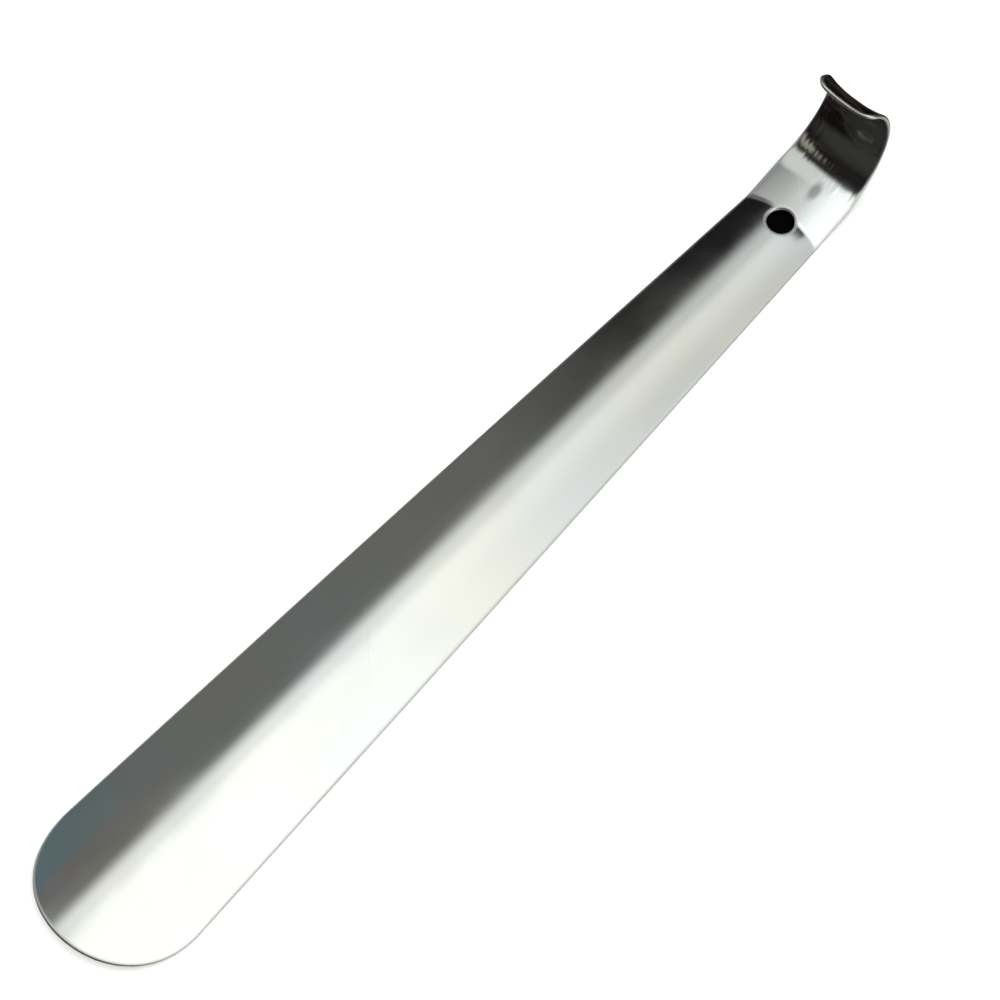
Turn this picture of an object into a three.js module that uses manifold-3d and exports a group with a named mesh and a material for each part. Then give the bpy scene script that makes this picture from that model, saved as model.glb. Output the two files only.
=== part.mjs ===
// Long shoehorn, pressed from one stainless-steel sheet.
// A flat blank with a rounded rim is made first, the hanging hole is punched through it, and
// the press then curves every point of it: a channel-shaped blade, a shallow bend at the hole,
// a short neck and a rolled hook. Millimetres, +Z up, lying on its long edges with the convex
// side up. +X runs from the tip towards the hook.

import * as THREE from "three";
import { ParametricGeometry } from "three/addons/geometries/ParametricGeometry.js";
import { mergeVertices } from "three/addons/utils/BufferGeometryUtils.js";
import Module from "manifold-3d";

// Driving dimensions. Lengths and widths are those of the flat blank.
const SHEET = 1.2; // thickness of the steel
const BLADE_LENGTH = 273; // tip to bend line
const BLADE_WIDTH = 48; // at the widest place, behind the round tip
const TIP_LENGTH = 24; // length of the round tip
const CHANNEL_RADIUS = 42; // curve across the blade, at the middle of the sheet
const CROWN_LAND = 3; // flat strip along the middle of the whole sheet
const NECK_WIDTH = 25;
const NECK_LENGTH = 11; // bend line to the start of the hook
const NECK_ANGLE = 14; // degrees that the neck rises above the blade
const BEND_RADIUS = 7; // along the bend line, at the middle of the sheet
const BEND_BOW = 3; // how far the bend line curves back towards the tip at the two edges
const HOLE_DIAMETER = 7.8;
const HOLE_SETBACK = 2.6; // hole centre to bend line, on the blade's side
const HOLE_EDGE = 0.45; // radius of the softened edge of the hole
const HOOK_RADIUS = 19.3; // at the middle of the sheet
const HOOK_ANGLE = 150; // degrees from the blade's direction to the end of the hook
const HOOK_END_WIDTH = 18.8;
const HOOK_CORNER = 4; // radius of the two corners at the end of the hook
const HOOK_CUP_RADIUS = 32; // curve across the hook at its end

// How finely the surfaces are divided.
const TIP_STEPS = 14; // round tip, from the tip point to one side
const BLADE_STEPS = 22;
const BEND_CELL = 1.1; // length of a cell near the bend line and the hole
const BEND_ZONE = 9; // length of fine cells on each side of the hole centre
const HOOK_STEPS = 22;
const CORNER_STEPS = 5;
const END_STEPS = 3; // half of the straight end of the hook
const FACE_STEPS = 6; // middle line to rim, on each face
const RIM_STEPS = 6; // round the rim
const HOLE_SIDES = 40;
const HOLE_EDGE_STEPS = 3;

const HALF = SHEET / 2;
const neckAngle = THREE.MathUtils.degToRad(NECK_ANGLE);
const hookAngle = THREE.MathUtils.degToRad(HOOK_ANGLE);
const hookStart = BLADE_LENGTH + NECK_LENGTH;
const blankLength = hookStart + HOOK_RADIUS * (hookAngle - neckAngle);
const holeStation = BLADE_LENGTH - HOLE_SETBACK;

// Half the width of the blank's straight-sided stretches at a distance from the tip.
function sideWidth(s) {
  if (s < BLADE_LENGTH) {
    const t = (s - TIP_LENGTH) / (BLADE_LENGTH - TIP_LENGTH);
    return THREE.MathUtils.lerp(BLADE_WIDTH, NECK_WIDTH, t) / 2;
  }
  const t = THREE.MathUtils.clamp((s - hookStart) / (blankLength - hookStart), 0, 1);
  return THREE.MathUtils.lerp(NECK_WIDTH, HOOK_END_WIDTH, t) / 2;
}

// Distances from the tip of the cross lines between the round tip and the hook's corners.
function sideStations() {
  const fineStart = holeStation - BEND_ZONE;
  const fineEnd = holeStation + BEND_ZONE;
  const cornerStart = blankLength - HOOK_CORNER;
  const stretches = [
    [TIP_LENGTH, fineStart, BLADE_STEPS],
    [fineStart, fineEnd, Math.round((2 * BEND_ZONE) / BEND_CELL)],
    [fineEnd, hookStart, Math.ceil((hookStart - fineEnd) / (2 * BEND_CELL))],
    [hookStart, cornerStart, HOOK_STEPS],
  ];
  const stations = stretches.flatMap(([from, to, steps]) =>
    Array.from({ length: steps }, (_, i) => from + ((to - from) * i) / steps),
  );
  return [...stations, cornerStart];
}

// One half of the blank's outline, from the tip point along one side to the middle of the
// hook's end. Each entry is a point of the outline and the direction that faces out of it.
function halfOutline() {
  const points = [];
  const add = (s, a, outS, outA) => {
    points.push({ at: new THREE.Vector2(s, a), out: new THREE.Vector2(outS, outA).normalize() });
  };
  const taper = (NECK_WIDTH - BLADE_WIDTH) / 2 / (BLADE_LENGTH - TIP_LENGTH);
  for (let i = 0; i < TIP_STEPS; i++) {
    const turn = ((Math.PI / 2) * i) / TIP_STEPS;
    const s = TIP_LENGTH * (1 - Math.cos(turn));
    const alongRate = TIP_LENGTH * Math.sin(turn);
    const widthRate = sideWidth(s) * Math.cos(turn) + taper * alongRate * Math.sin(turn);
    add(s, sideWidth(s) * Math.sin(turn), -widthRate, alongRate);
  }
  for (const s of sideStations()) {
    const slope = s < BLADE_LENGTH ? taper : 0;
    add(s, sideWidth(s), -slope, 1);
  }
  const cornerS = blankLength - HOOK_CORNER;
  const cornerA = sideWidth(cornerS) - HOOK_CORNER;
  for (let i = 1; i <= CORNER_STEPS; i++) {
    const turn = ((Math.PI / 2) * i) / CORNER_STEPS;
    const [along, across] = [Math.sin(turn), Math.cos(turn)];
    add(cornerS + HOOK_CORNER * along, cornerA + HOOK_CORNER * across, along, across);
  }
  for (let i = 1; i <= END_STEPS; i++) {
    add(blankLength, cornerA * (1 - i / END_STEPS), 1, 0);
  }
  return points;
}

// The whole outline as a closed loop that starts and ends at the tip point.
function outlineLoop() {
  const oneSide = halfOutline();
  const mirrored = oneSide.slice(0, -1).reverse();
  const otherSide = mirrored.map(({ at, out }) => ({
    at: new THREE.Vector2(at.x, -at.y),
    out: new THREE.Vector2(out.x, -out.y),
  }));
  return [...oneSide, ...otherSide].reverse();
}

// Flat blank. Each cross line starts on the middle line of the top face, runs out to the rim,
// goes round it in a half circle and comes back along the bottom face.
function blankGeometry() {
  const loop = outlineLoop();
  const steps = 2 * FACE_STEPS + RIM_STEPS;
  const innerEnd = blankLength - HOOK_CORNER;
  const pointOfBlank = (u, v, target) => {
    const { at, out } = loop[Math.round(v * (loop.length - 1))];
    const inset = at.clone().addScaledVector(out, -HALF);
    const middle = new THREE.Vector2(THREE.MathUtils.clamp(inset.x, TIP_LENGTH, innerEnd), 0);
    const step = Math.round(u * steps);
    const fromMiddle = Math.min(step, steps - step) / FACE_STEPS;
    if (fromMiddle <= 1) {
      const flat = middle.lerp(inset, fromMiddle);
      target.set(flat.x, flat.y, 2 * step < steps ? HALF : -HALF);
      return;
    }
    const turn = (Math.PI * (step - FACE_STEPS)) / RIM_STEPS;
    inset.addScaledVector(out, HALF * Math.sin(turn));
    target.set(inset.x, inset.y, HALF * Math.cos(turn));
  };
  return new ParametricGeometry(pointOfBlank, steps, loop.length - 1);
}

// Punch: a pin with flared ends that soften both edges of the hole.
function punchGeometry() {
  const radius = HOLE_DIAMETER / 2;
  const reach = HALF + 1;
  const profile = [new THREE.Vector2(0, -reach), new THREE.Vector2(radius + HOLE_EDGE, -reach)];
  for (let i = 0; i <= HOLE_EDGE_STEPS; i++) {
    const turn = ((Math.PI / 2) * i) / HOLE_EDGE_STEPS;
    const flare = HOLE_EDGE * (1 - Math.sin(turn));
    profile.push(new THREE.Vector2(radius + flare, -HALF + HOLE_EDGE * (1 - Math.cos(turn))));
  }
  const upper = profile.map(({ x, y }) => new THREE.Vector2(x, -y)).reverse();
  const punch = new THREE.LatheGeometry([...profile, ...upper], HOLE_SIDES);
  return punch.rotateX(Math.PI / 2).translate(holeStation, 0, 0);
}

// Direction and place of the sheet's lengthwise line that lies `offLand` beside the flat
// strip: straight, round the bend, straight along the neck and round the hook.
function lengthwise(s, offLand) {
  const bow = BEND_BOW * (offLand / (NECK_WIDTH / 2)) ** 2;
  const bendLength = BEND_RADIUS * neckAngle;
  const bendStart = BLADE_LENGTH - bow - bendLength / 2;
  const arcs = [
    { start: bendStart, from: 0, to: neckAngle, radius: BEND_RADIUS },
    { start: hookStart, from: neckAngle, to: hookAngle, radius: HOOK_RADIUS },
  ];
  let [x, z, done, angle] = [0, 0, 0, 0];
  const goStraight = (upTo) => {
    x += (upTo - done) * Math.cos(angle);
    z += (upTo - done) * Math.sin(angle);
    done = upTo;
  };
  for (const { start, from, to, radius } of arcs) {
    goStraight(Math.min(s, start));
    if (s <= start) break;
    angle = Math.min(to, from + (s - start) / radius);
    x += radius * (Math.sin(angle) - Math.sin(from));
    z += radius * (Math.cos(from) - Math.cos(angle));
    done = Math.min(s, start + radius * (to - from));
  }
  goStraight(s);
  return { x, z, angle };
}

// Curvature across the sheet: the blade's own, tightening along the hook to the cup of its end.
function crossCurvature(s) {
  const t = THREE.MathUtils.smoothstep(s, hookStart, blankLength);
  return THREE.MathUtils.lerp(1 / CHANNEL_RADIUS, 1 / HOOK_CUP_RADIUS, t);
}

// Where the press puts the blank's point (s along, a across, h above the middle of the sheet).
function pressPoint(point) {
  const { x: s, y: a, z: h } = point;
  const onLand = THREE.MathUtils.clamp(a, -CROWN_LAND / 2, CROWN_LAND / 2);
  const { x, z, angle } = lengthwise(s, a - onLand);
  const curvature = crossCurvature(s);
  const around = (a - onLand) * curvature;
  const side = onLand + Math.sin(around) / curvature + h * Math.sin(around);
  const rise = (Math.cos(around) - 1) / curvature + h * Math.cos(around);
  return point.set(x - rise * Math.sin(angle), side, z + rise * Math.cos(angle));
}

function press(geometry) {
  const positions = geometry.getAttribute("position");
  const point = new THREE.Vector3();
  for (let i = 0; i < positions.count; i++) {
    pressPoint(point.fromBufferAttribute(positions, i));
    positions.setXYZ(i, point.x, point.y, point.z);
  }
  geometry.computeVertexNormals();
  return geometry;
}

const wasm = await Module();
wasm.setup();

// A closed mesh as a solid. Every triangle keeps its own face number, so that the flat blank
// keeps its fine cells when it is cut.
function solidOf(geometry) {
  geometry.deleteAttribute("normal");
  geometry.deleteAttribute("uv");
  const merged = mergeVertices(geometry, 1e-4);
  const triVerts = new Uint32Array(merged.index.array);
  const faceID = Uint32Array.from({ length: triVerts.length / 3 }, (_, i) => i);
  const vertProperties = merged.attributes.position.array;
  return new wasm.Manifold(new wasm.Mesh({ numProp: 3, vertProperties, triVerts, faceID }));
}

function geometryOf(solid) {
  const { vertProperties, triVerts } = solid.getMesh();
  const geometry = new THREE.BufferGeometry();
  geometry.setAttribute("position", new THREE.BufferAttribute(vertProperties, 3));
  geometry.setIndex(new THREE.BufferAttribute(triVerts, 1));
  return geometry;
}

function pressedBlade() {
  const punched = solidOf(blankGeometry()).subtract(solidOf(punchGeometry()));
  const steel = new THREE.MeshStandardMaterial({ color: 0xb9bab2, roughness: 0.28, metalness: 1 });
  const blade = new THREE.Mesh(press(geometryOf(punched)), steel);
  blade.name = "pressed_blade";
  return blade;
}

// The sheet rests on its edges at the widest place and at the bend line, so the blade slopes
// a little. The origin is the middle of the footprint, on the surface that it rests on.
function laidDown(blade) {
  const edgeTurn = (s) => (sideWidth(s) - CROWN_LAND / 2) / CHANNEL_RADIUS;
  const edgeDepth = (s) => CHANNEL_RADIUS * (1 - Math.cos(edgeTurn(s)));
  const drop = edgeDepth(TIP_LENGTH) - edgeDepth(BLADE_LENGTH - BEND_BOW);
  blade.rotation.y = Math.atan2(drop, BLADE_LENGTH - BEND_BOW - TIP_LENGTH);
  blade.updateMatrixWorld(true);
  const box = new THREE.Box3().setFromObject(blade, true);
  const centre = box.getCenter(new THREE.Vector3());
  blade.position.set(-centre.x, -centre.y, -box.min.z);
  return blade;
}

const shoehorn = new THREE.Group();
shoehorn.name = "long_shoehorn";
shoehorn.add(laidDown(pressedBlade()));

export default shoehorn;
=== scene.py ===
# %% [markdown]
# # A long shoehorn pressed from stainless steel
#
# The real object is one piece of sheet steel, 1.2 mm thick and 30 cm long. A press has turned a
# flat blank into a hollow blade that guides the heel, a short neck and a rolled hook to hang it
# up or to pull a strap. There is one finish, satin-polished stainless steel, so this lesson is
# about one good surface: first its shape, then the metal, then the room that the metal mirrors.
#
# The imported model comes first. It gives the frame and the size, and nothing here changes them.

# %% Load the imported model
import math

import bmesh
import bpy
import numpy as np
from mathutils import Matrix, Vector


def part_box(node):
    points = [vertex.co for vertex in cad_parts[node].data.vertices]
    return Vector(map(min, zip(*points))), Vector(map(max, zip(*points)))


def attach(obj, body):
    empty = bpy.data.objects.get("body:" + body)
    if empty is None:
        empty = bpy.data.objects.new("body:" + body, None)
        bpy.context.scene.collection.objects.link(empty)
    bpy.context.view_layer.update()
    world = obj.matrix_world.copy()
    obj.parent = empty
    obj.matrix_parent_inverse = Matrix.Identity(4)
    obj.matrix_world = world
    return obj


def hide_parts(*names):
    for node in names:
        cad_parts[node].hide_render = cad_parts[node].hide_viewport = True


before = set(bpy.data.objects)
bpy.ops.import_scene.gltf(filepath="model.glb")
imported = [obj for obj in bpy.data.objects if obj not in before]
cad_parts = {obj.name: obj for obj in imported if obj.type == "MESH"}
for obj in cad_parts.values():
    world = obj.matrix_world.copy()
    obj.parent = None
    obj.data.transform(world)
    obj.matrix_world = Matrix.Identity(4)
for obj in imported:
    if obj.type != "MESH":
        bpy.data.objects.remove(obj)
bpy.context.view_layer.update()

# %% [markdown]
# The camera looks down on the blade from the tip's side, far enough away for the long blade to
# narrow only a little. Its place is given as an aim point on the blade, a direction and a
# distance, which are easier to read than a position.

# %% Camera
mm = 0.001
CAMERA_AIM = Vector((6.6, -0.1, 4.1)) * mm
CAMERA_AZIMUTH = math.radians(-47)
CAMERA_ELEVATION = math.radians(66.6)
CAMERA_ROLL = math.radians(-0.5)
CAMERA_DISTANCE = 0.647
CAMERA_LENS = 89.75

away = Vector(
    (
        math.sin(CAMERA_AZIMUTH) * math.cos(CAMERA_ELEVATION),
        -math.cos(CAMERA_AZIMUTH) * math.cos(CAMERA_ELEVATION),
        math.sin(CAMERA_ELEVATION),
    )
)
camera = bpy.data.objects.new("camera", bpy.data.cameras.new("camera"))
camera.data.lens = CAMERA_LENS
camera.data.sensor_width = 36
camera.data.clip_start, camera.data.clip_end = 0.05, 50
turn = away.to_track_quat("Z", "Y").to_matrix().to_4x4() @ Matrix.Rotation(CAMERA_ROLL, 4, "Z")
camera.matrix_world = Matrix.Translation(CAMERA_AIM + away * CAMERA_DISTANCE) @ turn
bpy.context.scene.collection.objects.link(camera)
bpy.context.scene.camera = camera
print("camera at", [round(v, 3) for v in camera.location])

# %% [markdown]
# ## The shape
#
# Pressed sheet could be modelled by pushing a flat mesh about by hand, or with a Solidify
# modifier on a bent surface. Working it out in the order of the real tool gives the cleanest
# result: a flat blank, then the hole, then the press. Each point of the flat blank is
# (s along, a across, h above the middle of the sheet), and one function, the press, says where
# such a point ends up. These are the sizes of the blank and of the press.

# %% Sizes of the blank and the press
SHEET = 1.2 * mm
BLADE_LENGTH = 273 * mm
BLADE_WIDTH = 48 * mm
TIP_LENGTH = 24 * mm
CHANNEL_RADIUS = 42 * mm
CROWN_LAND = 3 * mm
NECK_WIDTH = 25 * mm
NECK_LENGTH = 11 * mm
NECK_ANGLE = math.radians(14)
BEND_RADIUS = 7 * mm
BEND_BOW = 3 * mm
HOLE_RADIUS = 3.9 * mm
HOLE_SETBACK = 2.6 * mm
HOLE_EDGE = 0.45 * mm
HOOK_RADIUS = 19.3 * mm
HOOK_ANGLE = math.radians(150)
HOOK_END_WIDTH = 18.8 * mm
HOOK_CORNER = 4 * mm
HOOK_CUP_RADIUS = 32 * mm

HALF = SHEET / 2
HOOK_START = BLADE_LENGTH + NECK_LENGTH
BLANK_LENGTH = HOOK_START + HOOK_RADIUS * (HOOK_ANGLE - NECK_ANGLE)
HOLE_STATION = BLADE_LENGTH - HOLE_SETBACK
TAPER = (NECK_WIDTH - BLADE_WIDTH) / 2 / (BLADE_LENGTH - TIP_LENGTH)
print(f"flat blank {BLANK_LENGTH / mm:.1f} mm long")

# %% [markdown]
# The outline of the blank is a round tip, two straight sides that close in towards the neck,
# and a hook end with two round corners. The rim is half a circle, so the flat faces stop half a
# sheet short of the outline. The outline is therefore kept with its outward direction.

# %% Outline of the blank
TIP_STEPS = 44
BLADE_STEP = 1.6 * mm
PATCH_REACH = 8.5 * mm
PATCH_STEPS = 44
HOOK_STEP = 0.7 * mm
CORNER_STEPS = 12


def side_width(s):
    """Half the width: one straight taper up to the bend, a second one along the hook."""
    blade = BLADE_WIDTH / 2 + TAPER * (s - TIP_LENGTH)
    t = np.clip((s - HOOK_START) / (BLANK_LENGTH - HOOK_START), 0, 1)
    hook = (NECK_WIDTH + (HOOK_END_WIDTH - NECK_WIDTH) * t) / 2
    return np.where(s < BLADE_LENGTH, blade, hook)


def spread(start, end, step):
    """Evenly spaced places from start to end, about one step apart."""
    return np.linspace(start, end, max(2, round((end - start) / step) + 1))


def outline_side():
    """One side of the outline as rows (s, a, outward s, outward a), and the row numbers where
    the patch round the hole starts and ends. Tip: s = length (1 - cos t), a = width sin t.
    Corners: quarter circles."""
    t = np.linspace(0, math.pi / 2, TIP_STEPS, endpoint=False)
    s = TIP_LENGTH * (1 - np.cos(t))
    along = TIP_LENGTH * np.sin(t)
    rate = side_width(s) * np.cos(t) + TAPER * along * np.sin(t)
    tip = np.stack([s, side_width(s) * np.sin(t), -rate, along], 1)
    patch_start, patch_end = HOLE_STATION - PATCH_REACH, HOLE_STATION + PATCH_REACH
    corner_start = BLANK_LENGTH - HOOK_CORNER
    before = spread(TIP_LENGTH, patch_start, BLADE_STEP)[:-1]
    beside = np.linspace(patch_start, patch_end, PATCH_STEPS + 1)
    after = spread(patch_end, corner_start, HOOK_STEP)[1:]
    s = np.concatenate([before, beside, after])
    slope = np.where(s < BLADE_LENGTH, -TAPER, 0)
    sides = np.stack([s, side_width(s), slope, np.ones_like(s)], 1)
    t = np.linspace(0, math.pi / 2, CORNER_STEPS + 1)[1:]
    corner_s = corner_start + HOOK_CORNER * np.sin(t)
    corner_a = side_width(corner_start) - HOOK_CORNER + HOOK_CORNER * np.cos(t)
    corner = np.stack([corner_s, corner_a, np.sin(t), np.cos(t)], 1)
    rows = np.concatenate([tip, sides, corner])
    rows[:, 2:] /= np.linalg.norm(rows[:, 2:], axis=1, keepdims=True)
    first = TIP_STEPS + len(before)
    return rows, first, first + PATCH_STEPS


side, patch_first, patch_last = outline_side()
inset_s = side[:, 0] - HALF * side[:, 2]
inset_a = np.maximum(side[:, 1] - HALF * side[:, 3], 0)
print(len(side), "cross lines, patch between", patch_first, "and", patch_last)

# %% [markdown]
# Each face is three surfaces that share their borders: cross lines from the tip to the hole, a
# patch whose rings grow from the round hole into a rectangle, and cross lines to the end of the
# hook. A patch of rings keeps the hole perfectly round, where cutting it out of a grid of
# squares would leave slivers that show in the reflections.

# %% Cross lines of the flat faces
ACROSS = 56
RIM_MARGIN = 0.14 * mm

share = np.linspace(-1, 1, ACROSS + 1)
margin = np.minimum(RIM_MARGIN, 0.1 * inset_a)
lines = np.empty((len(side), ACROSS + 3, 3))
lines[:, :, 0] = inset_s[:, None]
lines[:, 1:-1, 1] = share * (inset_a - margin)[:, None]
lines[:, 0, 1], lines[:, -1, 1] = -inset_a, inset_a
lines[:, :, 2] = HALF
print("cross lines of", lines.shape[1], "points")

# %% Rings round the hole
RING_STEPS = 40
RING_CROWDING = 1.25


def ring_patch():
    """Rings round the hole. The outer ring walks along the border of the patch. Every other
    ring is a mix of it and the hole's circle, in the direction of each border point."""
    block = lines[patch_first : patch_last + 1]
    border = np.concatenate([block[0], block[1:, -1], block[-1, -2::-1], block[-2::-1, 0]])
    hole = np.array([HOLE_STATION, 0.0, HALF])
    turn = np.arctan2(border[:, 1], border[:, 0] - HOLE_STATION)
    circle = np.stack([np.cos(turn), np.sin(turn), 0 * turn], 1)
    inner = hole + (HOLE_RADIUS + HOLE_EDGE) * circle
    grow = (np.linspace(0, 1, RING_STEPS + 1) ** RING_CROWDING)[:, None, None]
    return inner + (border - inner) * grow, circle


patch, hole_circle = ring_patch()
print(patch.shape[0], "rings of", patch.shape[1], "points")

# %% [markdown]
# The sheet has two cut borders. The hole's wall is softened by two quarter circles, and the rim
# is half a circle, so both catch a thin line of light as a deburred edge does.

# %% Hole wall and rim
EDGE_STEPS = 7
RIM_STEPS = 10


def hole_wall(circle):
    """The punched wall: a quarter circle down from the top face, straight through, and a
    quarter circle out to the bottom face."""
    t = np.linspace(0, math.pi / 2, EDGE_STEPS + 1)
    radius = HOLE_RADIUS + HOLE_EDGE * (1 - np.sin(t))
    height = HALF - HOLE_EDGE * (1 - np.cos(t))
    radius, height = np.append(radius, radius[::-1]), np.append(height, -height[::-1])
    wall = circle * radius[:, None, None]
    wall[:, :, 0] += HOLE_STATION
    wall[:, :, 2] = height[:, None]
    return wall


def rim():
    """Half a circle round the outline, from the top face to the bottom face."""
    end = lines[-1, ::-1, :2]
    end_out = np.tile([1.0, 0.0], (len(end), 1))
    left = np.stack([inset_s, inset_a], 1)
    right = np.stack([inset_s, -inset_a], 1)
    place = np.concatenate([left[:-1], end, right[-2::-1]])
    out = np.concatenate([side[:-1, 2:], end_out, side[-2::-1, 2:] * [1, -1]])
    t = np.linspace(0, math.pi, RIM_STEPS + 1)[:, None, None]
    flat = place + HALF * np.sin(t) * out
    return np.concatenate([flat, np.broadcast_to(HALF * np.cos(t), flat.shape[:2] + (1,))], 2)


top_faces = [lines[: patch_first + 1], patch, lines[patch_last:]]
surfaces = top_faces + [g * [1, 1, -1] for g in top_faces] + [hole_wall(hole_circle), rim()]
print(len(surfaces), "surfaces,", sum(g.shape[0] * g.shape[1] for g in surfaces), "points")

# %% [markdown]
# The press curves the blank twice. Lengthwise it is straight, then bends at the hole, runs
# straight along the neck and rolls round the hook. Across, it is part of a circle that gets
# tighter towards the end of the hook. The bend line bows back towards the tip at the edges, as
# it does when a curved sheet is bent.

# %% The press
def lengthwise(s, off_land):
    """Place (x, z) and direction of a lengthwise line: straight, arc, straight, arc. Each arc
    adds radius (sin b - sin a) to x and radius (cos a - cos b) to z between angles a and b."""
    bow = BEND_BOW * (off_land / (NECK_WIDTH / 2)) ** 2
    bend_start = BLADE_LENGTH - bow - BEND_RADIUS * NECK_ANGLE / 2
    bend = np.clip((s - bend_start) / BEND_RADIUS, 0, NECK_ANGLE)
    neck = np.clip(s, bend_start + BEND_RADIUS * NECK_ANGLE, HOOK_START)
    neck = neck - bend_start - BEND_RADIUS * NECK_ANGLE
    angle = NECK_ANGLE + np.clip((s - HOOK_START) / HOOK_RADIUS, 0, HOOK_ANGLE - NECK_ANGLE)
    x = np.minimum(s, bend_start) + BEND_RADIUS * np.sin(bend) + neck * math.cos(NECK_ANGLE)
    z = BEND_RADIUS * (1 - np.cos(bend)) + neck * math.sin(NECK_ANGLE)
    x += HOOK_RADIUS * (np.sin(angle) - math.sin(NECK_ANGLE))
    z += HOOK_RADIUS * (math.cos(NECK_ANGLE) - np.cos(angle))
    return x, z, np.where(s < HOOK_START, bend, angle)


def pressed(blank):
    """Where the press puts points of the blank. Across, a point turns through its distance off
    the land / radius round the channel's axis. That distance is hypot(a, w) - w, with w half
    the land's width, so the strip along the middle stays nearly flat."""
    s, a, h = blank.T
    half_land = CROWN_LAND / 2
    off_land = np.sign(a) * (np.hypot(a, half_land) - half_land)
    on_land = a - off_land
    x, z, angle = lengthwise(s, off_land)
    t = np.clip((s - HOOK_START) / (BLANK_LENGTH - HOOK_START), 0, 1)
    t = t * t * (3 - 2 * t)
    curve = (1 - t) / CHANNEL_RADIUS + t / HOOK_CUP_RADIUS
    around = off_land * curve
    rise = (np.cos(around) - 1) / curve + h * np.cos(around)
    y = on_land + np.sin(around) / curve + h * np.sin(around)
    return np.stack([x - rise * np.sin(angle), y, z + rise * np.cos(angle)], 1)


def laid_down(points):
    """Turns the sheet about the cross axis until it rests on its long edges, then puts the
    middle of its footprint at the origin."""

    def edge_depth(s):
        turn = (float(side_width(s)) - CROWN_LAND / 2) / CHANNEL_RADIUS
        return CHANNEL_RADIUS * (1 - math.cos(turn))

    run = BLADE_LENGTH - BEND_BOW - TIP_LENGTH
    slope = math.atan2(edge_depth(TIP_LENGTH) - edge_depth(BLADE_LENGTH - BEND_BOW), run)
    x, y, z = points.T
    turned = np.stack(
        [x * math.cos(slope) + z * math.sin(slope), y, z * math.cos(slope) - x * math.sin(slope)], 1
    )
    low, high = turned.min(0), turned.max(0)
    box_low, box_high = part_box("pressed_blade")
    shift = np.array((box_low + box_high) / 2) - (low + high) / 2
    shift[2] = box_low.z - low[2]
    return turned + shift


# %% [markdown]
# Real edges are never finished like the faces: a deburring wheel leaves them duller for about
# a millimetre. The metal will need to know how far each point is from the nearest edge, and the
# flat blank is the easy place to measure it.

# %% Distance to the nearest edge
def edge_distance(points):
    """Distance to the outline or the hole, whichever is nearer. Round tip: (1 - G) over the
    slope of G, where G is 1 on the ellipse. Hook end: distance to a rounded rectangle."""
    s, a = points[:, 0], np.abs(points[:, 1])
    wide = side_width(s)
    u, v = (TIP_LENGTH - s) / TIP_LENGTH, a / wide
    reach = np.maximum(np.hypot(u, v), 1e-6)
    to_tip = (1 - reach) * reach / np.maximum(np.hypot(u / TIP_LENGTH, v / wide), 1e-6)
    corner_s = s - (BLANK_LENGTH - HOOK_CORNER)
    corner_a = a - (wide - HOOK_CORNER)
    outside = np.hypot(np.maximum(corner_s, 0), np.maximum(corner_a, 0))
    to_end = HOOK_CORNER - outside - np.minimum(np.maximum(corner_s, corner_a), 0)
    to_hole = np.hypot(s - HOLE_STATION, a) - HOLE_RADIUS
    to_side = np.where(s < TIP_LENGTH, to_tip, to_end)
    return np.maximum(np.minimum(to_side, to_hole), 0)


# %% [markdown]
# The surfaces are joined into one closed mesh: points that coincide on the blank become one
# point, and a square whose two corners coincide, at the very tip, becomes a triangle.

# %% Join the surfaces
def joined(grids):
    """One list of points and the corner numbers of every face, from a list of grids."""
    corners, start = [], 0
    for grid in grids:
        rows, columns = grid.shape[:2]
        number = start + np.arange(rows * columns).reshape(rows, columns)
        square = [number[:-1, :-1], number[1:, :-1], number[1:, 1:], number[:-1, 1:]]
        corners.append(np.stack(square, 2).reshape(-1, 4))
        start += rows * columns
    points = np.concatenate([g.reshape(-1, 3) for g in grids])
    key = np.round(points / (0.001 * mm)).astype(np.int64)
    _, first, same = np.unique(key, axis=0, return_index=True, return_inverse=True)
    return points[first], same.reshape(-1)[np.concatenate(corners)]


def mesh_from(name, points, faces):
    """A mesh of squares. A square with one corner that repeats its neighbour is a triangle."""
    differs = faces != np.roll(faces, 1, axis=1)
    corners = differs.sum(1)
    three = corners == 3
    triangles = faces[three][differs[three]].reshape(-1, 3)
    mesh = bpy.data.meshes.new(name)
    mesh.from_pydata(points.tolist(), [], faces[corners == 4].tolist() + triangles.tolist())
    return mesh


blank_points, blank_faces = joined(surfaces)
sheet_points = laid_down(pressed(blank_points))
print(len(blank_points), "points after joining")

# %% [markdown]
# The place of each point on the flat blank is kept as an attribute, because the polishing belt
# ran along the flat sheet and its lines follow the metal round the hook. The normals are worked
# out once more for the joined mesh, so that every face points outwards.

# %% Make the mesh
mesh = mesh_from("steel_sheet", sheet_points, blank_faces)
on_blank = mesh.attributes.new("on_blank", "FLOAT_VECTOR", "POINT")
on_blank.data.foreach_set("vector", blank_points.astype(np.float32).ravel())
from_edge = mesh.attributes.new("from_edge", "FLOAT", "POINT")
from_edge.data.foreach_set("value", edge_distance(blank_points).astype(np.float32))
shaper = bmesh.new()
shaper.from_mesh(mesh)
bmesh.ops.recalc_face_normals(shaper, faces=shaper.faces)
open_edges = sum(not e.is_manifold for e in shaper.edges)
shaper.to_mesh(mesh)
shaper.free()
mesh.polygons.foreach_set("use_smooth", np.ones(len(mesh.polygons), bool))
blade = bpy.data.objects.new("pressed_steel_blade", mesh)
bpy.context.scene.collection.objects.link(blade)
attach(blade, "root")
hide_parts("pressed_blade")
print(len(mesh.polygons), "faces,", open_edges, "open edges")

# %% [markdown]
# ## The metal
#
# Cold-rolled stainless steel is a slightly warm grey mirror. Rolling and belt polishing leave
# lines along the sheet, handling leaves hairline scratches in all directions, and fingers leave
# smudges. None of that is colour: it is a rougher or smoother mirror, so most of the nodes
# below end in Roughness and in a very shallow Bump.

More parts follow.
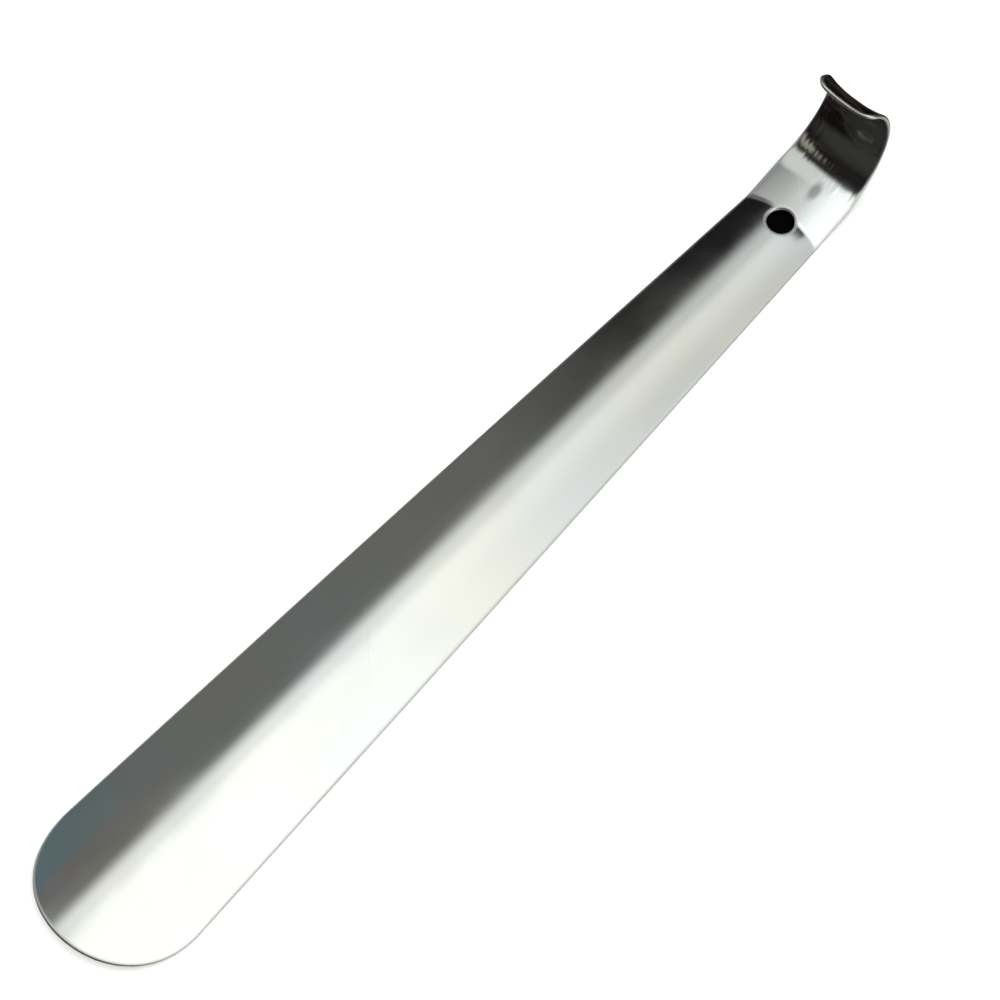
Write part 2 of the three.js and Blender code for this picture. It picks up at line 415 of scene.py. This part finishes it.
# %% Helpers for colours and nodes
def linear(hex_colour):
    """An sRGB hex colour as linear RGBA."""
    parts = [int(hex_colour[i : i + 2], 16) / 255 for i in (1, 3, 5)]
    return [p / 12.92 if p <= 0.04045 else ((p + 0.055) / 1.055) ** 2.4 for p in parts] + [1]


def add(tree, kind, inputs=(), output=0, **settings):
    """Adds a node with its own settings and gives back one of its outputs. Inputs are a list in
    the node's order, or a dictionary by name. An input takes a value, or a link where it is
    given another node's output."""
    node = tree.nodes.new(kind)
    for name, value in settings.items():
        setattr(node, name, value)
    pairs = inputs.items() if isinstance(inputs, dict) else enumerate(inputs)
    for name, value in pairs:
        if isinstance(value, bpy.types.NodeSocket):
            tree.links.new(value, node.inputs[name])
        else:
            node.inputs[name].default_value = value
    return node.outputs[output] if len(node.outputs) else None


# A Map Range node's inputs are, in order, the value, from low, from high, to low and to high.
SMOOTH = {"interpolation_type": "SMOOTHSTEP"}

# %% [markdown]
# Four things make the surface: polish lines, smudges, scratches and the die's draw marks. Polish
# lines are 0.3 mm apart, along the sheet; the real ones are finer still and would not show.
# Smudges are large and soft. Both are noise, and each pattern lies on the flat blank, so a
# Mapping node only has to divide it by its real size.

# %% Polish lines and smudges
POLISH_LINE = 0.3 * mm
POLISH_LENGTH = 45 * mm
SMUDGE = 20 * mm
SMUDGE_LENGTH = 28 * mm

steel = bpy.data.materials.new("satin_polished_stainless_steel")
steel.use_nodes = True
metal = steel.node_tree
metal.nodes.clear()
sheet_place = add(metal, "ShaderNodeAttribute", output="Vector", attribute_name="on_blank")
edge_gap = add(metal, "ShaderNodeAttribute", output="Fac", attribute_name="from_edge")


def scale_of(length, width):
    """The scale that makes one step of a pattern this long and this wide on the blank."""
    return (1 / length, 1 / width, 1 / width)


lines_place = {"Vector": sheet_place, "Scale": scale_of(POLISH_LENGTH, POLISH_LINE)}
lines_place = add(metal, "ShaderNodeMapping", lines_place)
polish = add(metal, "ShaderNodeTexNoise", {"Vector": lines_place, "Scale": 1, "Detail": 3})
smudge_place = {"Vector": sheet_place, "Scale": scale_of(SMUDGE_LENGTH, SMUDGE)}
smudge_place = add(metal, "ShaderNodeMapping", smudge_place)
smudge = add(metal, "ShaderNodeTexNoise", {"Vector": smudge_place, "Scale": 1, "Detail": 4})
print("polish lines", POLISH_LINE / mm, "mm apart, smudges", SMUDGE / mm, "mm wide")

# %% [markdown]
# The hook was drawn over a die, and the sheet slid along it. That leaves marks along the sheet,
# deepest at the hook's two sides, which break up what it mirrors. They are noise too, faded in
# where the hook starts and towards its sides.

# %% Draw marks of the hook
DRAW_MARK = 1.6 * mm
DRAW_LENGTH = 8 * mm
MIDDLE_SHARE = 0.25

mark_place = {"Vector": sheet_place, "Scale": scale_of(DRAW_LENGTH, DRAW_MARK)}
mark_place = add(metal, "ShaderNodeMapping", mark_place)
draw = add(metal, "ShaderNodeTexNoise", {"Vector": mark_place, "Scale": 1, "Detail": 1})
along = add(metal, "ShaderNodeSeparateXYZ", [sheet_place], "X")
across = add(metal, "ShaderNodeSeparateXYZ", [sheet_place], "Y")
off_middle = add(metal, "ShaderNodeMath", [across], operation="ABSOLUTE")
roll_start, roll_full = HOOK_START - 1 * mm, HOOK_START + 4 * mm
rolled = add(metal, "ShaderNodeMapRange", [along, roll_start, roll_full, 0, 1], **SMOOTH)
at_sides = add(metal, "ShaderNodeMapRange", [off_middle, 3 * mm, 10 * mm, MIDDLE_SHARE, 1], **SMOOTH)
rolled = add(metal, "ShaderNodeMath", [rolled, at_sides], operation="MULTIPLY")
draw = add(metal, "ShaderNodeMath", [draw, rolled], operation="MULTIPLY")
print("draw marks", DRAW_MARK / mm, "mm wide")

# %% [markdown]
# Scratches are straight, thin and long. A drawn line for each would be work to place, so they
# are the lines between the cells of a Voronoi pattern stretched in one direction. Two directions
# and some patches without scratches keep them from looking like a grid.

# %% Hairline scratches
SCRATCH_GAP = 9 * mm
SCRATCH_WIDTH = 0.12 * mm
FINE_SCRATCH_GAP = 1.6 * SCRATCH_GAP
FINE_SCRATCH_WIDTH = 0.1 * mm
SCRATCH_STRETCH = 0.06


def scratches(angle, gap, width):
    """1 on thin lines between the cells of a pattern that is long in one direction, and only
    where a second, patchy pattern lets them show."""
    turned = add(metal, "ShaderNodeMapping", {"Vector": sheet_place, "Rotation": (0, 0, angle)})
    scale = (SCRATCH_STRETCH / gap, 1 / gap, 1 / gap)
    scaled = add(metal, "ShaderNodeMapping", {"Vector": turned, "Scale": scale})
    cells = {"Vector": scaled, "Scale": 1}
    gaps = add(metal, "ShaderNodeTexVoronoi", cells, "Distance", feature="DISTANCE_TO_EDGE")
    line = add(metal, "ShaderNodeMapRange", [gaps, 0, width / gap, 1, 0], **SMOOTH)
    patch_place = {"Vector": sheet_place, "Location": (angle, 0, 0), "Scale": scale_of(3 * gap, 3 * gap)}
    patch_place = add(metal, "ShaderNodeMapping", patch_place)
    patches = add(metal, "ShaderNodeTexNoise", {"Vector": patch_place, "Scale": 1})
    shown = add(metal, "ShaderNodeMapRange", [patches, 0.5, 0.62, 0, 1], **SMOOTH)
    return add(metal, "ShaderNodeMath", [line, shown], operation="MULTIPLY")


up_scratches = scratches(0.35, SCRATCH_GAP, SCRATCH_WIDTH)
down_scratches = scratches(-0.8, FINE_SCRATCH_GAP, FINE_SCRATCH_WIDTH)
scratch = add(metal, "ShaderNodeMath", [up_scratches, down_scratches], operation="MAXIMUM")
print(f"scratches about {SCRATCH_GAP / mm:.0f} and {FINE_SCRATCH_GAP / mm:.0f} mm apart")

# %% [markdown]
# The patterns end in two places. The roughness follows the smudges and is much higher on the
# deburred edge, which shows as a pale line along a dark reflection. The bumps are chained, and
# each one's Distance is the depth of its marks.

# %% Roughness and bump
DULL_EDGE = 1.2 * mm
SMOOTH_STEEL, SMUDGED_STEEL = 0.12, 0.19
SCRATCH_ROUGHER = 0.05
EDGE_ROUGHER = 0.32

dull = add(metal, "ShaderNodeMapRange", [edge_gap, 0.3 * DULL_EDGE, DULL_EDGE, 1, 0], **SMOOTH)
smudged = [smudge, 0.35, 0.7, SMOOTH_STEEL, SMUDGED_STEEL]
roughness = add(metal, "ShaderNodeMapRange", smudged, **SMOOTH)
scratched = [scratch, SCRATCH_ROUGHER, roughness]
roughness = add(metal, "ShaderNodeMath", scratched, operation="MULTIPLY_ADD")
deburred = [dull, EDGE_ROUGHER, roughness]
roughness = add(metal, "ShaderNodeMath", deburred, operation="MULTIPLY_ADD")
relief = {"Height": polish, "Strength": 0.07, "Distance": 0.02 * mm}
normal = add(metal, "ShaderNodeBump", relief)
relief = {"Height": scratch, "Normal": normal, "Strength": 0.15, "Distance": 0.01 * mm}
normal = add(metal, "ShaderNodeBump", relief, invert=True)
relief = {"Height": draw, "Normal": normal, "Strength": 1, "Distance": 0.2 * mm}
normal = add(metal, "ShaderNodeBump", relief)
print("dull edge", DULL_EDGE / mm, "mm wide")

# %% [markdown]
# The colour hardly changes: a trace of blue or straw where the oxide film is thicker, a plainer
# grey on the deburred edge, and one dark reflection painted into the colour on the neck. The
# painted reflection is an ellipse: the distance from its centre, divided by its size, is 1 on its
# outline.

# %% Colour and shader
BLUE_STEEL = "#C6C9CA"
STRAW_STEEL = "#CAC9C2"
BARE_EDGE = "#C8C8C4"
PAINTED_DARK_REFLECTION = "#5E5F5E"
PAINTED_REFLECTION_PLACE = (HOLE_STATION + 12.6 * mm, -1.6 * mm, 0)
PAINTED_REFLECTION_SIZE = (4.2 * mm, 2.2 * mm, 5 * mm)
FILM_LENGTH, FILM_WIDTH = 60 * mm, 30 * mm

film_place = {"Vector": sheet_place, "Location": (3, 1, 0), "Scale": scale_of(FILM_LENGTH, FILM_WIDTH)}
film_place = add(metal, "ShaderNodeMapping", film_place)
film = add(metal, "ShaderNodeTexNoise", {"Vector": film_place, "Scale": 1})
film = add(metal, "ShaderNodeMapRange", [film, 0.3, 0.7, 0, 1], **SMOOTH)
tint = {"Factor": film, "A": linear(BLUE_STEEL), "B": linear(STRAW_STEEL)}
colour = add(metal, "ShaderNodeMix", tint, "Result", data_type="RGBA")
bare = add(metal, "ShaderNodeMath", [dull, 0.6], operation="MULTIPLY")
edge_tint = {"Factor": bare, "A": colour, "B": linear(BARE_EDGE)}
colour = add(metal, "ShaderNodeMix", edge_tint, "Result", data_type="RGBA")

# Painted reflection: a soft dark ellipse on the neck is mixed into the steel's colour.
from_painted_reflection = add(metal, "ShaderNodeVectorMath", [sheet_place, PAINTED_REFLECTION_PLACE], operation="SUBTRACT")
in_painted_reflection = add(metal, "ShaderNodeVectorMath", [from_painted_reflection, PAINTED_REFLECTION_SIZE], operation="DIVIDE")
reach = add(metal, "ShaderNodeVectorMath", [in_painted_reflection], "Value", operation="LENGTH")
painted_reflection_mask = add(metal, "ShaderNodeMapRange", [reach, 0.3, 1.0, 0.6, 0], **SMOOTH)
painted_reflection_mix = {"Factor": painted_reflection_mask, "A": colour, "B": linear(PAINTED_DARK_REFLECTION)}
colour = add(metal, "ShaderNodeMix", painted_reflection_mix, "Result", data_type="RGBA")

finish = {"Base Color": colour, "Roughness": roughness, "Normal": normal, "Metallic": 1}
shader = add(metal, "ShaderNodeBsdfPrincipled", finish)
add(metal, "ShaderNodeOutputMaterial", [shader])
blade.data.materials.append(steel)
print("metal nodes:", len(metal.nodes))

# %% [markdown]
# ## The room
#
# A mirror shows what is round it, so the look of the steel is mostly the look of the room. Real
# lamps and boards could stand round the blade, but each would need its own place and would light
# the floor too. A room that depends on direction only is simpler, and the world's nodes can hold
# it: x runs along the blade, and the lean is the angle from straight up towards the left.
#
# A long soft panel hangs overhead and on the right, brightest towards the tip. The left side is
# in shade, the far ends are dark, and a teal wall and a plum curtain stand low on the left.

# %% Directions in the room
degree = math.radians(1)
world = bpy.data.worlds.new("studio_room")
bpy.context.scene.world = world
world.use_nodes = True
room = world.node_tree
room.nodes.clear()
direction = add(room, "ShaderNodeTexCoord", output="Generated")
along_x = add(room, "ShaderNodeSeparateXYZ", [direction], "X")
to_left = add(room, "ShaderNodeSeparateXYZ", [direction], "Y")
upward = add(room, "ShaderNodeSeparateXYZ", [direction], "Z")
lean = add(room, "ShaderNodeMath", [to_left, upward], operation="ARCTAN2")


def window(value, low, high, soft):
    """1 while a value is between two others, with soft ends: a rise times a fall."""
    rise = add(room, "ShaderNodeMapRange", [value, low - soft, low + soft, 0, 1], **SMOOTH)
    fall = add(room, "ShaderNodeMapRange", [value, high - soft, high + soft, 1, 0], **SMOOTH)
    return add(room, "ShaderNodeMath", [rise, fall], operation="MULTIPLY")


def opening(leans, lean_soft, ends, end_soft):
    """1 inside a four-sided part of the room, given by its two leans in degrees and its two
    places along x."""
    sides = window(lean, leans[0] * degree, leans[1] * degree, lean_soft * degree)
    ends = window(along_x, ends[0], ends[1], end_soft)
    return add(room, "ShaderNodeMath", [sides, ends], operation="MULTIPLY")


print("the room's directions are ready")

# %% [markdown]
# The panel and the shade meet in one soft edge, which the crown of the blade mirrors as the
# line between its dark and its bright half. Both change along x, because each part of the long
# blade mirrors another x: the tip mirrors 0.1, the hole 0.45 and the neck 0.

# %% Panel and shade overhead
PANEL_TINT = (0.975, 1.0, 0.978)
PANEL_BY_TIP, PANEL_BY_HOLE = 1.84, 1.22
PANEL_FAR_SIDE = 0.78
PANEL_EDGE = (12.5 * degree, 26 * degree)
NECK_TURN = 10 * degree
SHADE_TINT = (0.985, 1.0, 0.95)
SHADE_BY_NECK, SHADE_BY_TIP = 1.0, 0.21
SHADE_BY_HOLE = 0.05

far_side = add(room, "ShaderNodeMapRange", [along_x, 0.25, 0.42, 1, PANEL_FAR_SIDE], **SMOOTH)
panel_side = [lean, -12 * degree, 13 * degree, far_side, 1]
panel = add(room, "ShaderNodeMapRange", panel_side, **SMOOTH)
panel_end = [along_x, 0.2, 0.42, PANEL_BY_TIP, PANEL_BY_HOLE]
panel_end = add(room, "ShaderNodeMapRange", panel_end, **SMOOTH)
panel = add(room, "ShaderNodeMath", [panel, panel_end], operation="MULTIPLY")
panel = add(room, "ShaderNodeVectorMath", [panel, PANEL_TINT], operation="MULTIPLY")

shade_near = [along_x, 0.0, 0.08, SHADE_BY_NECK, SHADE_BY_TIP]
shade_near = add(room, "ShaderNodeMapRange", shade_near, **SMOOTH)
shade_far = add(room, "ShaderNodeMapRange", [along_x, 0.33, 0.405, 1, SHADE_BY_HOLE], **SMOOTH)
shade = add(room, "ShaderNodeMath", [shade_near, shade_far], operation="MULTIPLY")
shade = add(room, "ShaderNodeVectorMath", [shade, SHADE_TINT], operation="MULTIPLY")

# The panel's edge runs along the blade and turns in where the neck mirrors it.
turn_in = add(room, "ShaderNodeMapRange", [along_x, 0.04, 0.08, NECK_TURN, 0], **SMOOTH)
edge_lean = add(room, "ShaderNodeMath", [lean, turn_in])
on_panel = add(room, "ShaderNodeMapRange", [edge_lean, *PANEL_EDGE, 1, 0], **SMOOTH)
overhead = {"Factor": on_panel, "A": shade, "B": panel}
overhead = add(room, "ShaderNodeMix", overhead, "Result", data_type="RGBA")
print("panel and shade are in place")

# %% [markdown]
# A teal wall and a plum curtain stand low on the left. The round tip mirrors them, which gives
# the grey steel its one patch of colour.

# %% Teal wall and plum curtain
TEAL_WALL = (0.11, 0.2, 0.24, 1)
PLUM_CURTAIN = (0.21, 0.185, 0.2, 1)

curtain = {"Factor": opening((33, 50), 3, (-0.02, 0.11), 0.02), "A": overhead, "B": PLUM_CURTAIN}
overhead = add(room, "ShaderNodeMix", curtain, "Result", data_type="RGBA")
wall = {"Factor": opening((47, 88), 4, (-0.02, 0.115), 0.006), "A": overhead, "B": TEAL_WALL}
overhead = add(room, "ShaderNodeMix", wall, "Result", data_type="RGBA")
print("wall and curtain are in place")

# %% [markdown]
# The hook turns away from the panel and mirrors the end of the room behind the tip. It is nearly
# black, with faint clutter, a dim doorway, and one narrow light gap that the draw marks break up
# into streaks.

# %% Dark ends
DARK_END = (0.004, 0.004, 0.004, 1)
DARK_CLUTTER = (0.05, 0.036, 0.034, 1)
LIGHT_GAP = (0.5, 0.47, 0.4, 1)
DIM_DOORWAY = (0.055, 0.054, 0.052, 1)

clutter = add(room, "ShaderNodeTexNoise", {"Vector": direction, "Scale": 7, "Detail": 3})
clutter = add(room, "ShaderNodeMapRange", [clutter, 0.4, 0.75, 0, 1], **SMOOTH)
dark = {"Factor": clutter, "A": DARK_END, "B": DARK_CLUTTER}
dark = add(room, "ShaderNodeMix", dark, "Result", data_type="RGBA")
gap = {"Factor": opening((26, 60), 8, (-0.68, -0.56), 0.04), "A": dark, "B": LIGHT_GAP}
far_wall = add(room, "ShaderNodeMix", gap, "Result", data_type="RGBA")
door = {"Factor": window(along_x, -1.1, -0.85, 0.12), "A": far_wall, "B": DIM_DOORWAY}
far_wall = add(room, "ShaderNodeMix", door, "Result", data_type="RGBA")
print("dark ends are in place")

# %% [markdown]
# The parts are joined: overhead between the two dark ends, a pale floor below the horizon, and
# plain white for what the camera sees directly, which a Light Path node tells apart.

# %% The whole room
PALE_FLOOR = (0.75, 0.75, 0.73, 1)
WHITE_BACKGROUND = (0.9, 0.9, 0.9, 1)

above = {"Factor": window(along_x, -0.41, 0.6, 0.07), "A": far_wall, "B": overhead}
above = add(room, "ShaderNodeMix", above, "Result", data_type="RGBA")
below = {"Factor": window(along_x, -0.3, 0.55, 0.15), "A": dark, "B": PALE_FLOOR}
below = add(room, "ShaderNodeMix", below, "Result", data_type="RGBA")
is_above = add(room, "ShaderNodeMapRange", [upward, -0.12, 0.02, 0, 1], **SMOOTH)
everywhere = {"Factor": is_above, "A": below, "B": above}
everywhere = add(room, "ShaderNodeMix", everywhere, "Result", data_type="RGBA")
to_camera = add(room, "ShaderNodeLightPath", output="Is Camera Ray")
seen = {"Factor": to_camera, "A": everywhere, "B": WHITE_BACKGROUND}
seen = add(room, "ShaderNodeMix", seen, "Result", data_type="RGBA")
light = add(room, "ShaderNodeBackground", {"Color": seen})
add(room, "ShaderNodeOutputWorld", [light])
print("room nodes:", len(room.nodes))

# %% [markdown]
# ## The floor
#
# Matt white paper, which the metal doesn't mirror, because the room already has a pale floor of
# its own. Right under the hanging hole the paper has a painted shade, nearly black, where the
# sheet keeps the light out, so that the hole reads as a hole. A large soft lamp lights the paper.

# %% Floor and floor lamp
FLOOR_SIZE = 12.0
LAMP_SIZE = 3.5
LAMP_POWER = 75
PAPER = "#F4F4F3"
PAINTED_SHADE_UNDER_HOLE = "#040404"

paper = bpy.data.materials.new("matt_white_paper")
paper.use_nodes = True
sheet = paper.node_tree
sheet.nodes.clear()
place = add(sheet, "ShaderNodeTexCoord", output="Object")
fibre = add(sheet, "ShaderNodeTexNoise", {"Vector": place, "Scale": 1 / (3 * mm), "Detail": 3})
tooth = add(sheet, "ShaderNodeBump", {"Height": fibre, "Strength": 0.05, "Distance": 0.1 * mm})
# Painted shade: the paper's colour goes nearly black within 7 mm of the point under the hole and fades
# back to white by 11 mm.
from_pin = np.hypot(blank_points[:, 0] - HOLE_STATION, blank_points[:, 1])
hole_centre = sheet_points[from_pin < HOLE_RADIUS + 0.01 * mm].mean(0)
under = (hole_centre[0], hole_centre[1], 0)
from_hole = add(sheet, "ShaderNodeVectorMath", [place, under], "Value", operation="DISTANCE")
outside_painted_shade = add(sheet, "ShaderNodeMapRange", [from_hole, 7 * mm, 11 * mm, 0, 1], **SMOOTH)
paper_and_painted_shade = {"Factor": outside_painted_shade, "A": linear(PAINTED_SHADE_UNDER_HOLE), "B": linear(PAPER)}
paper_and_painted_shade = add(sheet, "ShaderNodeMix", paper_and_painted_shade, "Result", data_type="RGBA")
matt = {"Base Color": paper_and_painted_shade, "Normal": tooth, "Roughness": 0.9, "Specular IOR Level": 0}
matt = add(sheet, "ShaderNodeBsdfPrincipled", matt)
add(sheet, "ShaderNodeOutputMaterial", [matt])

r = FLOOR_SIZE / 2
floor_mesh = bpy.data.meshes.new("floor")
floor_mesh.from_pydata([(-r, -r, 0), (r, -r, 0), (r, r, 0), (-r, r, 0)], [], [(0, 1, 2, 3)])
floor_mesh.materials.append(paper)
floor = bpy.data.objects.new("floor", floor_mesh)
floor.visible_glossy = False
bpy.context.scene.collection.objects.link(floor)

lamp = bpy.data.objects.new("floor_lamp", bpy.data.lights.new("floor_lamp", "AREA"))
lamp.data.size = LAMP_SIZE
lamp.data.energy = LAMP_POWER
lamp.location = (0.1, -0.2, 2.2)
lamp.rotation_euler = (-lamp.location).to_track_quat("-Z", "Y").to_euler()
lamp.visible_glossy = False
lamp.visible_camera = False
bpy.context.scene.collection.objects.link(lamp)
bpy.context.scene.view_settings.view_transform = "Standard"
print("floor and lamp in place")
